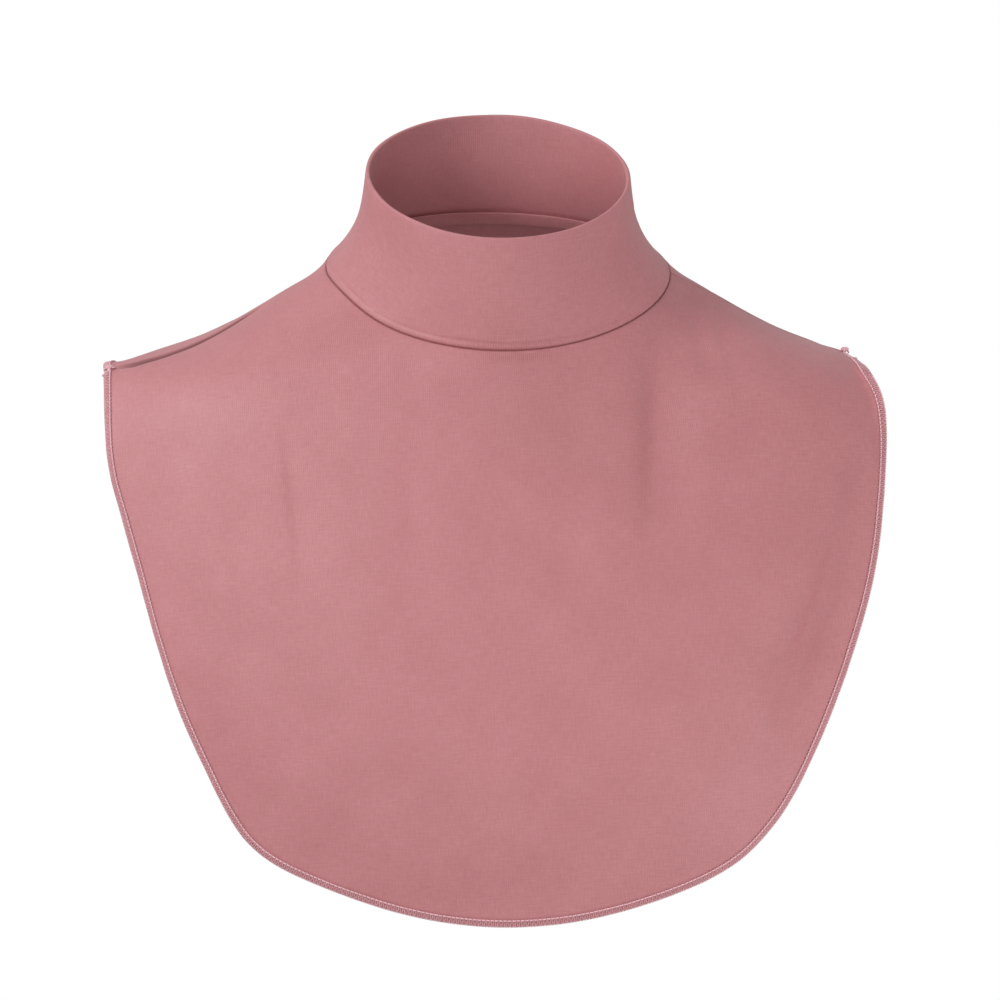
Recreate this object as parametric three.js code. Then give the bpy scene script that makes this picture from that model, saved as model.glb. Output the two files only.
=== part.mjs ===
// A turtleneck dickey in fine knitted jersey, in the shape that it takes when it is worn.
// A stand collar, folded double, is sewn to a front and a back panel, which meet at the shoulders.
// Both panels hang free below the shoulders and end in a thread-wrapped edge.
// Units are millimetres. +Z is up, -Y is the wearer's front and +X the wearer's left.
// The origin is the middle of the neck, level with the collar seam at the sides of the neck.
import * as THREE from "three";

// The collar seam round the base of the neck.
const neckHalfWidth = 77;
const neckFrontReach = 60;
const neckBackReach = 50;
const neckFrontDrop = 28;
const neckBackRise = 15;
const sideSlump = 1.6;
const seamLift = 3;
const seamLiftAngle = 65;
const seamLiftWidth = 18;

// The stand collar: its rise above the seam, its folded top and how far the neck leans forward.
const collarRiseFront = 50;
const collarRiseSide = 45;
const collarRiseBack = 51;
const collarTopHalfWidth = 58.6;
const collarTopHalfDepth = 51;
const neckLean = 10;
const collarThickness = 2;

// The panels and the body shape that they hang over.
const shoulderHalfWidth = 176;
const shoulderDrop = 44;
const frontLength = 270;
const backLength = 245;
const bustReach = 125;
const bladeReach = 101;
const panelThickness = 1.2;

// The overlocked edge and the seam allowances inside.
const edgeWidth = 2.5;
const edgeThickness = 1.8;
const allowanceThickness = 1.2;
const neckAllowanceHeight = 6;
const shoulderAllowanceWidth = 7;

// The gap that is kept between neighbouring pieces, and the depth of the deepest fold.
const gap = 0.45;
const foldDepth = 3;

// How finely the faceted walls are divided.
const frontColumns = 76;
const backColumns = 60;
const panelRows = 12;
const collarColumns = 64;
const seamSteps = 12;
const edgeSides = 6;

// Shares at which the collar is divided on its way down and round its top fold,
// and a shoulder allowance across its width and at its two ends, counted in panel rows.
const collarRows = [0.03, 0.16, 0.34, 0.52, 0.7, 0.87, 1];
const foldTurns = [0.2, 0.5, 0.8];
const allowanceAcross = [0.08, 0.4, 0.7, 1];
const allowanceEnds = { neck: 1, tip: panelRows - 0.4 };

// How far the columns of a panel bow sideways between neck and hem, in degrees.
const columnBow = 14;

// The share of a panel's width in which a swayed seam pulls its columns along,
// and the share in which the panels part at the seam.
const swayShare = 0.2;
const partShare = 1 / 30;

// How late a panel draws in to its overlocked edge, and how soon it leaves the collar's foot.
const edgePower = 6;
const seatPower = 3;

// The distance down from the collar seam over which the slope of the body is taken,
// and the small step, of an angle or a share, over which other directions are taken.
const slopeRun = 6;
const step = 0.01;

// Behind the neck: height as a share of neckBackRise, half width of neckHalfWidth,
// back reach of neckBackReach, and front reach of neckFrontReach.
const neckSections = [
  { up: 1, out: 0.82, back: 1, front: 0.23, square: 2 },
  { up: 0.8, out: 0.86, back: 1.06, front: 0.23, square: 2 },
  { up: 0.53, out: 0.92, back: 1.13, front: 0.25, square: 2 },
];

// Along the shoulder: drop as a share of shoulderDrop, out from neckHalfWidth to shoulderHalfWidth,
// front reach of neckFrontReach and back reach of bladeReach.
const shoulderSections = [
  { down: 0, out: 0, front: 0.28, back: 0.62, square: 2 },
  { down: 0.15, out: 0.12, front: 0.5, back: 0.67, square: 2 },
  { down: 0.315, out: 0.25, front: 0.69, back: 0.73, square: 2 },
  { down: 0.45, out: 0.35, front: 0.83, back: 0.77, square: 2 },
  { down: 0.645, out: 0.52, front: 1, back: 0.81, square: 2 },
  { down: 0.84, out: 0.765, front: 1.1, back: 0.84, square: 2 },
];

// Below the shoulder: drop as a share of the way from the shoulder tip to the front hem,
// half width of shoulderHalfWidth, front reach of bustReach and back reach of bladeReach.
const chestSections = [
  { down: 0, out: 1, front: 0.568, back: 0.86, square: 2 },
  { down: 0.07, out: 1.068, front: 0.64, back: 0.9, square: 2 },
  { down: 0.16, out: 1.1, front: 0.716, back: 0.94, square: 2 },
  { down: 0.29, out: 1.114, front: 0.812, back: 0.98, square: 2.06 },
  { down: 0.47, out: 1.097, front: 0.912, back: 1, square: 2.15 },
  { down: 0.65, out: 1.057, front: 0.98, back: 0.98, square: 2.25 },
  { down: 0.8, out: 1.006, front: 1, back: 0.94, square: 2.3 },
  { down: 1, out: 0.94, front: 0.975, back: 0.9, square: 2.3 },
];

// The hem's outline: drop as a share of the way from the shoulder tip to the bottom of the hem,
// and how far out it lies on the wearer's right and left, and on the left of the back,
// as shares of shoulderHalfWidth. The first two rows only round off the left tip of the front.
const hemOutline = [
  { down: -0.013, left: 0.936 },
  { down: -0.002, left: 0.944 },
  { down: 0.012, right: 0.994, left: 0.955, backLeft: 0.93 },
  { down: 0.04, right: 0.989, left: 0.966, backLeft: 0.95 },
  { down: 0.09, right: 0.984, left: 0.972, backLeft: 0.963 },
  { down: 0.14, right: 0.974, left: 0.972, backLeft: 0.97 },
  { down: 0.22, right: 0.95, left: 0.96, backLeft: 0.96 },
  { down: 0.3, right: 0.921, left: 0.943, backLeft: 0.943 },
  { down: 0.38, right: 0.889, left: 0.922, backLeft: 0.922 },
  { down: 0.46, right: 0.858, left: 0.898, backLeft: 0.898 },
  { down: 0.54, right: 0.824, left: 0.867, backLeft: 0.867 },
  { down: 0.62, right: 0.784, left: 0.828, backLeft: 0.828 },
  { down: 0.69, right: 0.742, left: 0.786, backLeft: 0.786 },
  { down: 0.75, right: 0.7, left: 0.745, backLeft: 0.745 },
  { down: 0.8, right: 0.66, left: 0.702, backLeft: 0.702 },
  { down: 0.84, right: 0.62, left: 0.655, backLeft: 0.655 },
  { down: 0.875, right: 0.572, left: 0.6, backLeft: 0.6 },
  { down: 0.905, right: 0.508, left: 0.53, backLeft: 0.53 },
  { down: 0.935, right: 0.415, left: 0.438, backLeft: 0.438 },
  { down: 0.96, right: 0.32, left: 0.35, backLeft: 0.35 },
  { down: 0.98, right: 0.22, left: 0.255, backLeft: 0.255 },
  { down: 0.994, right: 0.115, left: 0.145, backLeft: 0.145 },
];

// The shoulder seams: how many degrees in front of the shoulder ridge each one runs,
// by the share of the way from the neck to the tip.
const seamSway = [
  { along: 0, right: 0, left: 0 },
  { along: 0.35, right: 1.5, left: -2 },
  { along: 0.65, right: 9, left: -5 },
  { along: 0.8, right: 12.5, left: -6 },
  { along: 0.9, right: 12, left: -6 },
  { along: 1, right: 5.6, left: -5 },
];

// Where the shoulder tips lie, as shares of shoulderDrop.
const tipDrop = { right: 1.01, left: 0.88 };

// The folds of the front panel, each a trough from one point to another as seen from the front:
// across as shares of shoulderHalfWidth, down of frontLength, width of neckHalfWidth,
// and depth of foldDepth.
const frontFolds = [
  { fromOut: 0.93, fromDown: 0.34, toOut: 0.72, toDown: 0.78, width: 0.12, depth: 1 },
  { fromOut: 0.45, fromDown: 0.04, toOut: 0.42, toDown: 0.47, width: 0.13, depth: 0.75 },
  { fromOut: 0.53, fromDown: 0.05, toOut: 0.59, toDown: 0.2, width: 0.07, depth: 0.35 },
  { fromOut: -0.53, fromDown: 0.3, toOut: -0.47, toDown: 0.56, width: 0.08, depth: 0.35 },
  { fromOut: -0.67, fromDown: 0.26, toOut: -0.59, toDown: 0.72, width: 0.1, depth: 0.25 },
];

// The collar's side profile, from the folded top to the seam: how far down the collar,
// and how much of the spread from the top ring to the seam it has by then.
const collarProfile = [
  { down: 0, spread: 0 },
  { down: 0.2, spread: 0.05 },
  { down: 0.45, spread: 0.16 },
  { down: 0.63, spread: 0.31 },
  { down: 0.82, spread: 0.58 },
  { down: 1, spread: 1 },
];

const jersey = { color: 0xbe8286, roughness: 0.85, metalness: 0 };
const thread = { color: 0xc493a0, roughness: 0.6, metalness: 0 };

const mix = (a, b, share) => a + (b - a) * share;
const radians = THREE.MathUtils.degToRad;

// The value of one column of a table at a place between its rows, without overshoot.
function readTable(rows, place, column, at) {
  const last = rows.length - 1;
  if (at <= rows[0][place]) return rows[0][column];
  if (at >= rows[last][place]) return rows[last][column];
  const i = rows.findIndex((row) => row[place] > at) - 1;
  const slope = (k) => (rows[k + 1][column] - rows[k][column]) / (rows[k + 1][place] - rows[k][place]);
  const tangent = (k) => {
    if (k === 0) return slope(0);
    if (k === last) return slope(last - 1);
    const product = slope(k - 1) * slope(k);
    return product <= 0 ? 0 : (2 * product) / (slope(k - 1) + slope(k));
  };
  const span = rows[i + 1][place] - rows[i][place];
  const t = (at - rows[i][place]) / span;
  const rise = t * t * (3 - 2 * t);
  return (
    mix(rows[i][column], rows[i + 1][column], rise) +
    span * t * (1 - t) * (tangent(i) * (1 - t) - tangent(i + 1) * t)
  );
}

// The body shape as level sections in millimetres, from the lowest to the highest.
const bodySections = [
  ...neckSections.map((s) => ({
    level: neckBackRise * s.up,
    halfWidth: neckHalfWidth * s.out,
    front: neckFrontReach * s.front,
    back: neckBackReach * s.back,
    square: s.square,
  })),
  ...shoulderSections.map((s) => ({
    level: -shoulderDrop * s.down,
    halfWidth: mix(neckHalfWidth, shoulderHalfWidth, s.out),
    front: neckFrontReach * s.front,
    back: bladeReach * s.back,
    square: s.square,
  })),
  ...chestSections.map((s) => ({
    level: -mix(shoulderDrop, frontLength, s.down),
    halfWidth: shoulderHalfWidth * s.out,
    front: bustReach * s.front,
    back: bladeReach * s.back,
    square: s.square,
  })),
].reverse();

const bodyAt = (level, column) => readTable(bodySections, "level", column, level);

// A point of the body's surface. The angle is 0 at the front and 90 degrees at the wearer's left.
function bodyPoint(angle, level) {
  const [across, ahead] = [Math.sin(angle), Math.cos(angle)];
  const square = bodyAt(level, "square");
  const size = (Math.abs(across) ** square + Math.abs(ahead) ** square) ** (1 / square);
  const reach = bodyAt(level, ahead > 0 ? "front" : "back");
  return new THREE.Vector3(
    (bodyAt(level, "halfWidth") * across) / size,
    (-reach * ahead) / size,
    level,
  );
}

// The angle at which the body's surface lies this far out, on its front or back (facing 1 or -1).
function angleAt(out, level, facing) {
  const square = bodyAt(level, "square");
  const share = THREE.MathUtils.clamp(out / bodyAt(level, "halfWidth"), -1, 1);
  const ahead = (1 - Math.abs(share) ** square) ** (1 / square);
  return Math.atan2(share, facing * ahead);
}

// The height of the collar seam, lower in front and on the wearer's left side.
function evenSeamLevel(angle) {
  const ahead = Math.cos(angle);
  const even = (neckFrontDrop + neckBackRise) / 2;
  const uneven = (neckFrontDrop - neckBackRise) / 2;
  return -even * ahead - uneven * ahead * ahead - sideSlump * Math.sin(angle);
}

// The same with the lift that the seam has on the wearer's right, between side and front.
function seamLevel(angle) {
  const turned = Math.atan2(Math.sin(angle), Math.cos(angle));
  const away = (turned + radians(seamLiftAngle)) / radians(seamLiftWidth);
  return evenSeamLevel(angle) + seamLift * Math.exp(-away * away);
}

// A point of the collar seam.
function neckSeamPoint(angle) {
  const ahead = Math.cos(angle);
  const reach = ahead > 0 ? neckFrontReach : neckBackReach;
  return new THREE.Vector3(neckHalfWidth * Math.sin(angle), -reach * ahead, seamLevel(angle));
}

// A point of the collar's folded top.
function collarTopPoint(angle) {
  const ahead = Math.cos(angle);
  const rise = ahead > 0 ? collarRiseFront : collarRiseBack;
  return new THREE.Vector3(
    collarTopHalfWidth * Math.sin(angle),
    -neckLean - collarTopHalfDepth * ahead,
    evenSeamLevel(angle) + mix(collarRiseSide, rise, ahead * ahead),
  );
}

// A point of the collar's outer face, by the share of its height below the folded top.
function collarPoint(angle, down) {
  const top = collarTopPoint(angle);
  const seam = neckSeamPoint(angle);
  const spread = readTable(collarProfile, "down", "spread", down);
  const x = mix(top.x, seam.x, spread);
  const y = mix(top.y, seam.y, spread);
  return new THREE.Vector3(x, y, mix(top.z, seam.z, down));
}

// The direction into the neck that the collar and the panels share along their seam.
function seamInward(angle) {
  const up = collarPoint(angle, 0.9).sub(collarPoint(angle, 1)).normalize();
  const level = seamLevel(angle);
  const down = bodyPoint(angle, level - slopeRun).sub(bodyPoint(angle, level)).normalize();
  const round = neckSeamPoint(angle + step).sub(neckSeamPoint(angle - step));
  return up.sub(down).cross(round).normalize();
}

// A point on a shoulder seam, as an angle and a level. The side is -1 for right and 1 for left.
function shoulderSeam(side, along) {
  const name = side < 0 ? "right" : "left";
  const sway = radians(readTable(seamSway, "along", name, along));
  const neck = seamLevel((side * Math.PI) / 2);
  return {
    angle: side * (Math.PI / 2 - sway),
    level: mix(neck, -shoulderDrop * tipDrop[name], along),
  };
}

// The hem of one panel as a curve in space from the right tip to the left tip.
function hemCurve(facing) {
  const length = facing > 0 ? frontLength : backLength;
  const point = (share, down) => {
    const level = -mix(shoulderDrop, length, down);
    return bodyPoint(angleAt(share * shoulderHalfWidth, level, facing), level);
  };
  const tip = (side) => {
    const end = shoulderSeam(side, 1);
    return bodyPoint(end.angle, end.level);
  };
  const left = facing > 0 ? "left" : "backLeft";
  const rowsWith = (name) => hemOutline.filter((row) => row[name]);
  const rightSide = rowsWith("right").map((row) => point(-row.right, row.down));
  const leftSide = rowsWith(left).map((row) => point(row[left], row.down));
  const places = [tip(-1), ...rightSide, point(0, 1), ...leftSide.reverse(), tip(1)];
  return new THREE.CatmullRomCurve3(places, false, "centripetal");
}

// How deep the front panel's folds are at a place, seen from the front.
function foldAt(x, z) {
  return frontFolds.reduce((deep, fold) => {
    const from = new THREE.Vector2(fold.fromOut * shoulderHalfWidth, -fold.fromDown * frontLength);
    const to = new THREE.Vector2(fold.toOut * shoulderHalfWidth, -fold.toDown * frontLength);
    const run = to.clone().sub(from);
    const away = new THREE.Vector2(x, z).sub(from);
    const along = away.dot(run) / run.lengthSq();
    const aside = away.cross(run) / run.length() / (fold.width * neckHalfWidth);
    const within = Math.max(0, 1 - (2 * along - 1) ** 2);
    return deep + foldDepth * fold.depth * within * Math.exp(-aside * aside);
  }, 0);
}

const bodyMiddle = new THREE.Vector3(0, 0, -frontLength);

// The outward direction of the body's surface.
function bodyNormal(angle, level) {
  const rise = slopeRun / 12;
  const round = bodyPoint(angle + step, level).sub(bodyPoint(angle - step, level));
  const up = bodyPoint(angle, level + rise).sub(bodyPoint(angle, level - rise));
  const normal = round.cross(up).normalize();
  return normal.dot(bodyPoint(angle, level).sub(bodyMiddle)) < 0 ? normal.negate() : normal;
}

// How far a panel keeps forward of the shoulder seams, so that the two panels stay clear.
function seamGap(facing, share) {
  const near = Math.max(0, 1 - Math.min(share, 1 - share) / partShare);
  return (facing * gap * near) / 2;
}

// The outer and inner face of one panel, and the line of its hem. Facing is 1 in front, -1 behind.
// Columns run from the neck to the hem, from the wearer's right shoulder to the left one.
function panelFaces(facing, columns) {
  const hem = hemCurve(facing);
  const unwrap = (angle) => (facing < 0 && angle < 0 ? angle + 2 * Math.PI : angle);
  const seamAngle = (side, along) => unwrap(shoulderSeam(side, along).angle);
  const outer = [];
  const inner = [];
  const line = [];
  for (let i = 0; i <= columns; i++) {
    const c = i / columns;
    const end = hem.getPointAt(c);
    const reach = bodyAt(end.z, end.y < 0 ? "front" : "back");
    const hemAngle = unwrap(Math.atan2(end.x / bodyAt(end.z, "halfWidth"), -end.y / reach));
    const neckAngle = mix(seamAngle(-1, 0), seamAngle(1, 0), c);
    const seat = neckSeamPoint(neckAngle).sub(bodyPoint(neckAngle, seamLevel(neckAngle)));
    const bend = (side, along) => {
      const straight = mix(seamAngle(side, 0), seamAngle(side, 1), along);
      const near = Math.max(0, 1 - (side < 0 ? c : 1 - c) / swayShare);
      return (seamAngle(side, along) - straight) * near * near;
    };
    const places = Array.from({ length: panelRows + 1 }, (_, j) => {
      const along = j / panelRows;
      const bow = facing * radians(columnBow) * Math.sin(2 * Math.PI * c) * 4 * along * (1 - along);
      const angle = mix(neckAngle, hemAngle, along) + bow + bend(-1, along) + bend(1, along);
      const level = mix(seamLevel(neckAngle), end.z, along);
      const point = bodyPoint(angle, level).addScaledVector(seat, (1 - along) ** seatPower);
      return { point, normal: bodyNormal(angle, level) };
    });
    places[0].normal = seamInward(neckAngle).negate();
    const folded = ({ point, normal }) => {
      const sink = facing > 0 ? -foldAt(point.x, point.z) : 0;
      return point.clone().addScaledVector(normal, sink);
    };
    const last = places[panelRows];
    const ahead = hem.getTangentAt(c);
    const uphill = places[panelRows - 1].point.clone().sub(last.point).normalize();
    const level = last.normal.clone().cross(ahead).setLength(facing);
    const inward = i === 0 || i === columns ? uphill : level;
    line.push({ point: folded(last), normal: last.normal, ahead, inward });
    const finished = places.map((place, j) => {
      const moved = folded(place);
      moved.addScaledVector(inward, (edgeWidth + gap) * (j / panelRows) ** edgePower);
      if (j === 0) moved.addScaledVector(places[1].point.clone().sub(place.point).normalize(), gap);
      moved.y -= seamGap(facing, c);
      return moved;
    });
    const behind = (point, j) => point.clone().addScaledVector(places[j].normal, -panelThickness);
    outer.push(finished);
    inner.push(finished.map(behind));
  }
  return { outer, inner, line };
}

// One closed solid from a run of closed loops with as many points each.
// The ends are capped between the first and second half of their loop, or the run closes on itself.
function loft(loops, closed) {
  const size = loops[0].length;
  const points = loops.flat();
  const triangles = [];
  const quad = (a, b, c, d) => {
    const across = points[a].distanceTo(points[c]) <= points[b].distanceTo(points[d]);
    triangles.push(...(across ? [a, b, c, a, c, d] : [a, b, d, b, c, d]));
  };
  const steps = closed ? loops.length : loops.length - 1;
  for (let i = 0; i < steps; i++) {
    const next = (i + 1) % loops.length;
    for (let j = 0; j < size; j++) {
      const k = (j + 1) % size;
      quad(i * size + j, i * size + k, next * size + k, next * size + j);
    }
  }
  for (let j = 0; !closed && j < size / 2 - 1; j++) {
    const last = (k) => (loops.length - 1) * size + k;
    quad(size - 1 - j, size - 2 - j, j + 1, j);
    quad(last(j), last(j + 1), last(size - 2 - j), last(size - 1 - j));
  }
  const volume = (a, b, c) => points[a].dot(points[b].clone().cross(points[c]));
  let total = 0;
  for (let i = 0; i < triangles.length; i += 3) {
    total += volume(...triangles.slice(i, i + 3));
  }
  if (total < 0) triangles.reverse();
  const geometry = new THREE.BufferGeometry().setFromPoints(points);
  geometry.setIndex(triangles);
  geometry.computeVertexNormals();
  return geometry;
}

// The wall of one panel, between its outer and inner face.
function panelGeometry({ outer, inner }) {
  return loft(outer.map((column, i) => [...column, ...inner[i].slice().reverse()]), false);
}

// The thread-wrapped edge along one panel's hem, rounded in section.
function edgeGeometry({ line }) {
  const last = line.length - 1;
  const loops = line.map(({ point, normal, ahead, inward }, i) => {
    const clear = i === 0 ? gap : i === last ? -gap : 0;
    const middle = point
      .clone()
      .addScaledVector(ahead, clear)
      .addScaledVector(inward, edgeWidth / 2)
      .addScaledVector(normal, -panelThickness / 2);
    return Array.from({ length: edgeSides }, (_, k) => {
      const turn = (k * 2 * Math.PI) / edgeSides;
      return middle
        .clone()
        .addScaledVector(inward, (Math.cos(turn) * edgeWidth) / 2)
        .addScaledVector(normal, (Math.sin(turn) * edgeThickness) / 2);
    });
  });
  return loft(loops, false);
}

// The angles round the neck at which the collar is divided, from behind by the right to behind.
const ring = Array.from({ length: collarColumns }, (_, i) => ((2 * i) / collarColumns - 1) * Math.PI);

// The direction into the neck, square to the collar's outer face.
function collarInward(angle, down) {
  if (down === 1) return seamInward(angle);
  const lower = collarPoint(angle, Math.min(1, down + step));
  const upper = collarPoint(angle, Math.max(0, down - step));
  const round = collarPoint(angle + step, down).sub(collarPoint(angle - step, down));
  const normal = lower.sub(upper).cross(round).normalize();
  const middle = new THREE.Vector3(0, -neckLean, upper.z - collarRiseSide);
  return normal.dot(upper.sub(middle)) > 0 ? normal.negate() : normal;
}

// The collar: an outer and an inner layer joined by the fold at the top.
function collarGeometry() {
  const loops = ring.map((angle) => {
    const outer = collarRows.map((down) => collarPoint(angle, down)).reverse();
    const inner = collarRows.map((down) =>
      collarPoint(angle, down).addScaledVector(collarInward(angle, down), collarThickness),
    );
    const top = outer[outer.length - 1].clone().add(inner[0]).multiplyScalar(0.5);
    const half = outer[outer.length - 1].clone().sub(top);
    const up = collarTopPoint(angle).sub(collarPoint(angle, 10 * step)).normalize();
    const fold = foldTurns.map((turn) =>
      top
        .clone()
        .addScaledVector(half, Math.cos(Math.PI * turn))
        .addScaledVector(up, (Math.sin(Math.PI * turn) * collarThickness) / 2),
    );
    return [...outer, ...fold, ...inner];
  });
  return loft(loops, true);
}

// The allowance of the collar seam: a ring inside the foot of the collar.
function neckSeamGeometry() {
  const share = neckAllowanceHeight / collarRiseSide;
  const loops = ring.map((angle) => {
    const foot = collarPoint(angle, 1);
    const head = collarPoint(angle, 1 - share);
    const round = collarPoint(angle + step, 1).sub(collarPoint(angle - step, 1));
    const inward = head.clone().sub(foot).cross(round).normalize();
    if (inward.dot(foot.clone().setZ(collarRiseSide)) > 0) inward.negate();
    const near = collarThickness + gap;
    const far = near + allowanceThickness;
    const lift = head.clone().sub(foot).normalize().multiplyScalar(gap);
    foot.add(lift);
    return [
      foot.clone().addScaledVector(inward, near),
      head.clone().addScaledVector(inward, near),
      head.clone().addScaledVector(inward, far),
      foot.clone().addScaledVector(inward, far),
    ];
  });
  return loft(loops, true);
}

// The allowance of one shoulder seam: a strip inside, laid towards the back under the back panel.
function shoulderSeamGeometry(side, { inner }) {
  const columns = side < 0 ? inner : inner.slice().reverse();
  const pointAt = (column, row) => {
    const j = Math.min(Math.floor(row), panelRows - 1);
    return columns[column][j].clone().lerp(columns[column][j + 1], row - j);
  };
  const walk = (row, length) => {
    for (let i = 0, left = length; ; i++) {
      const width = pointAt(i, row).distanceTo(pointAt(i + 1, row));
      if (left <= width) return pointAt(i, row).lerp(pointAt(i + 1, row), left / width);
      left -= width;
    }
  };
  const below = 1.5 * gap;
  const loops = Array.from({ length: seamSteps + 1 }, (_, i) => {
    const row = mix(allowanceEnds.neck, allowanceEnds.tip, i / seamSteps);
    const face = allowanceAcross.map((aside) => walk(row, aside * shoulderAllowanceWidth));
    const round = face[face.length - 1].clone().sub(face[0]);
    const run = pointAt(0, Math.min(row + 0.5, panelRows)).sub(pointAt(0, row - 0.5));
    const inward = round.cross(run).normalize();
    inward.multiplyScalar(Math.sign(-inward.z));
    const near = face.map((point) => point.clone().addScaledVector(inward, below));
    const far = near.map((point) => point.clone().addScaledVector(inward, allowanceThickness));
    return [...near, ...far.reverse()];
  });
  return loft(loops, false);
}

function piece(name, geometry, finish) {
  const mesh = new THREE.Mesh(geometry, new THREE.MeshStandardMaterial(finish));
  mesh.name = name;
  return mesh;
}

const front = panelFaces(1, frontColumns);
const back = panelFaces(-1, backColumns);

const dickey = new THREE.Group();
dickey.add(piece("collar", collarGeometry(), jersey));
dickey.add(piece("front_panel", panelGeometry(front), jersey));
dickey.add(piece("back_panel", panelGeometry(back), jersey));
dickey.add(piece("front_edge", edgeGeometry(front), thread));
dickey.add(piece("back_edge", edgeGeometry(back), thread));
dickey.add(piece("neck_seam", neckSeamGeometry(), jersey));
dickey.add(piece("shoulder_seam_right", shoulderSeamGeometry(-1, back), jersey));
dickey.add(piece("shoulder_seam_left", shoulderSeamGeometry(1, back), jersey));

export default dickey;
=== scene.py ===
# %% [markdown]
# # A turtleneck dickey in fine jersey
#
# A dickey is a false front: a collar with just enough bib below it to stay put under a
# jumper. This one is a stand collar, folded double, sewn to a front and a back bib of the
# same dusty pink jersey. The bibs end in an overlocked edge, where threads wrap the raw
# cloth. It is shown in the form that it takes when it is worn.
#
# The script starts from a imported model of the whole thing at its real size. Each solid in
# it gives a cloth or a thread its place here. All lengths are in metres.

import math

import bmesh
import bpy
import numpy as np
from mathutils import Matrix, Vector, noise
from mathutils.bvhtree import BVHTree


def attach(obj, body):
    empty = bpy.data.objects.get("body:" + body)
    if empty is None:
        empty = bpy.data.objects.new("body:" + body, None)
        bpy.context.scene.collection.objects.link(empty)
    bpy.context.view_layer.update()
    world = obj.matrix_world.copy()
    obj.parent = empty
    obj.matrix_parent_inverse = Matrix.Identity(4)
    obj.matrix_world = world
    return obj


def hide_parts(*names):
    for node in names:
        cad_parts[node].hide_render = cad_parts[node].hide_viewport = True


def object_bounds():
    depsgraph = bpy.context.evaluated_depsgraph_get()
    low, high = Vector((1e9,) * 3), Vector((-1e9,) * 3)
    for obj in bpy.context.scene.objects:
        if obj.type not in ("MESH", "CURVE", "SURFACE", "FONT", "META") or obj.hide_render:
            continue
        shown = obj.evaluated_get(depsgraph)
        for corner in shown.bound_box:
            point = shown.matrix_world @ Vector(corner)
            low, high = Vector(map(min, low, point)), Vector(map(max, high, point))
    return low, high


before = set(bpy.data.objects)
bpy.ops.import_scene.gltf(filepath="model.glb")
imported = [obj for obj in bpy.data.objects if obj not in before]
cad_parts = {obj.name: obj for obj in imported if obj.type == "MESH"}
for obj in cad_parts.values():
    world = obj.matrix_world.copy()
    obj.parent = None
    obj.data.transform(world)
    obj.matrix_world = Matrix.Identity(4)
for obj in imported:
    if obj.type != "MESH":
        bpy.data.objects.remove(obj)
cad_box = [list(corner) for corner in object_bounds()]
print("solids:", sorted(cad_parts))

# %% [markdown]
# ## Sizes that every piece shares
#
# The solids keep a small gap where cloth is sewn to cloth and stop short of the overlocked
# edge, so both lengths are named here and taken back. The jersey is a fine knit: eleven
# wales, the upright ribs of loops, to the centimetre.

# %% Shared sizes
MM = 0.001
SEAM_GAP = 0.45 * MM
EDGE_WIDTH = 2 * MM
CLOTH = 0.6 * MM
SEAM_DEPTH = 1.6 * MM
WALE = 0.9 * MM
COURSE = 0.72 * MM
STITCH = 1.9 * MM

# %% Putting things in the scene
def new_object(name, data):
    """An object that shows this data."""
    made = bpy.data.objects.new(name, data)
    bpy.context.scene.collection.objects.link(made)
    return made


# %% [markdown]
# ## Camera and light
#
# The camera looks slightly down from the front, with a long lens, so that the proportions
# stay true. One broad lamp at the upper left shapes the cloth. Two weak ones, low in front
# and at the right, open the shadows, and a bright surround fills the rest, as in a white
# studio. It is drawn as plain white where nothing stands in front of it.

# %% Camera
AIM = Vector((0.9 * MM, 0, -104.6 * MM))
DISTANCE = 2.2
RISE = math.radians(10)
FILM_MM = 36
LENS_MM = 176

lens = bpy.data.cameras.new("studio_camera")
lens.sensor_width = FILM_MM
lens.lens = LENS_MM
camera = new_object("studio_camera", lens)
camera.location = AIM + DISTANCE * Vector((0, -math.cos(RISE), math.sin(RISE)))
camera.rotation_euler = (math.pi / 2 - RISE, 0, 0)
bpy.context.scene.camera = camera
bpy.context.scene.view_settings.view_transform = "Standard"
print("camera at", tuple(round(c, 3) for c in camera.location))


# %% Lamps
def soft_lamp(name, place, size, watts, colour):
    """A square lamp that faces the middle of the object."""
    lamp = bpy.data.lights.new(name, "AREA")
    lamp.size = size
    lamp.energy = watts
    lamp.color = colour
    holder = new_object(name, lamp)
    holder.location = place
    holder.visible_camera = False
    holder.rotation_euler = (AIM - Vector(place)).to_track_quat("-Z", "Y").to_euler()


KEY_PLACE = (-1.9, -1.0, 1.5)

soft_lamp("key_lamp", KEY_PLACE, 0.8, 40, (0.94, 0.99, 1))
soft_lamp("front_lamp", (-0.3, -2.2, -0.2), 1.0, 9, (1, 0.99, 0.99))
soft_lamp("fill_lamp", (0.6, -0.45, -0.36), 0.3, 1.6, (1, 0.98, 0.98))

# %% The surround
SURROUND = 0.66

world = bpy.data.worlds.new("studio_surround")
bpy.context.scene.world = world
world.use_nodes = True
sky = world.node_tree
sky.nodes.clear()
lit = sky.nodes.new("ShaderNodeBackground")
lit.inputs["Strength"].default_value = SURROUND
lit.inputs["Color"].default_value = (1, 1, 1, 1)
seen = sky.nodes.new("ShaderNodeBackground")
seen.inputs["Color"].default_value = (1, 1, 1, 1)
rays = sky.nodes.new("ShaderNodeLightPath")
either = sky.nodes.new("ShaderNodeMixShader")
out = sky.nodes.new("ShaderNodeOutputWorld")
sky.links.new(rays.outputs["Is Camera Ray"], either.inputs["Fac"])
sky.links.new(lit.outputs["Background"], either.inputs[1])
sky.links.new(seen.outputs["Background"], either.inputs[2])
sky.links.new(either.outputs["Shader"], out.inputs["Surface"])

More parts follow.
